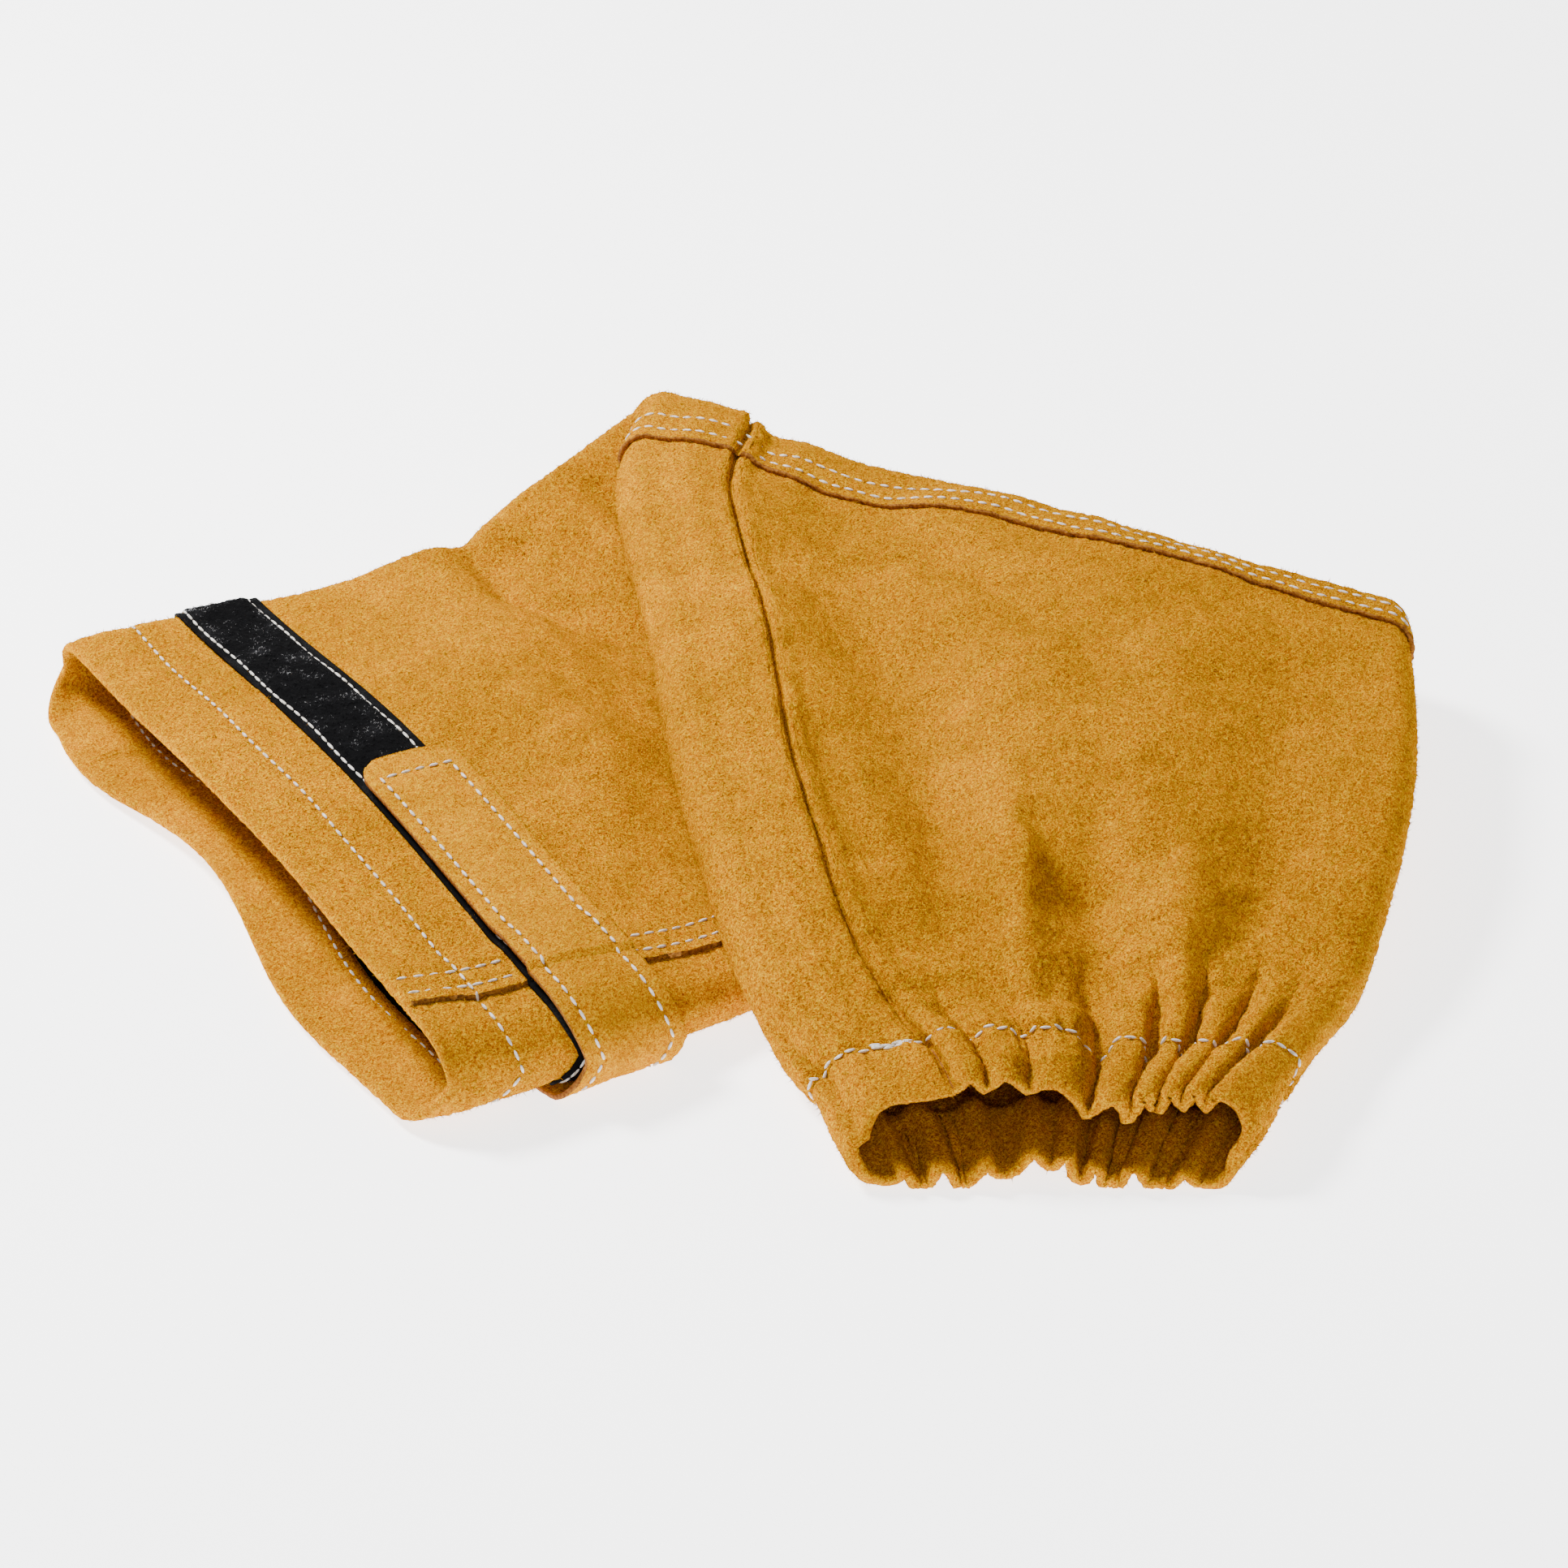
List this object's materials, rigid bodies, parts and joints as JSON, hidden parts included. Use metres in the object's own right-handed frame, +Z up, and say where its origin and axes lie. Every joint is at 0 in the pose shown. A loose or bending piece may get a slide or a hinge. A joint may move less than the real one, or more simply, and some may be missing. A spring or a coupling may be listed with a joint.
{
  "type": "welding sleeve",
  "caption": "Golden split-suede welding sleeve with an elastic wrist and a hook-and-loop strap at the upper arm, folded in half and lying flat.",
  "frame": {"origin": "middle of the outline on the plane that the sleeve lies on", "axes": "+X from the upper-arm opening towards the fold, +Y across the upper arm towards its far edge, +Z up from the plane it lies on"},
  "size_m": [0.3406, 0.362, 0.0517],
  "materials": {
    "suede": "split suede, napped",
    "strap_suede": "split suede, finer nap",
    "black_tape": "woven nylon, matt"
  },
  "bodies": {
    "root": {"upper_arm_panel": "suede", "forearm_panel": "suede", "loop_tape": "black_tape", "strap_tab": "strap_suede", "hook_tape": "black_tape", "inner_band": "black_tape"}
  },
  "joints": []
}
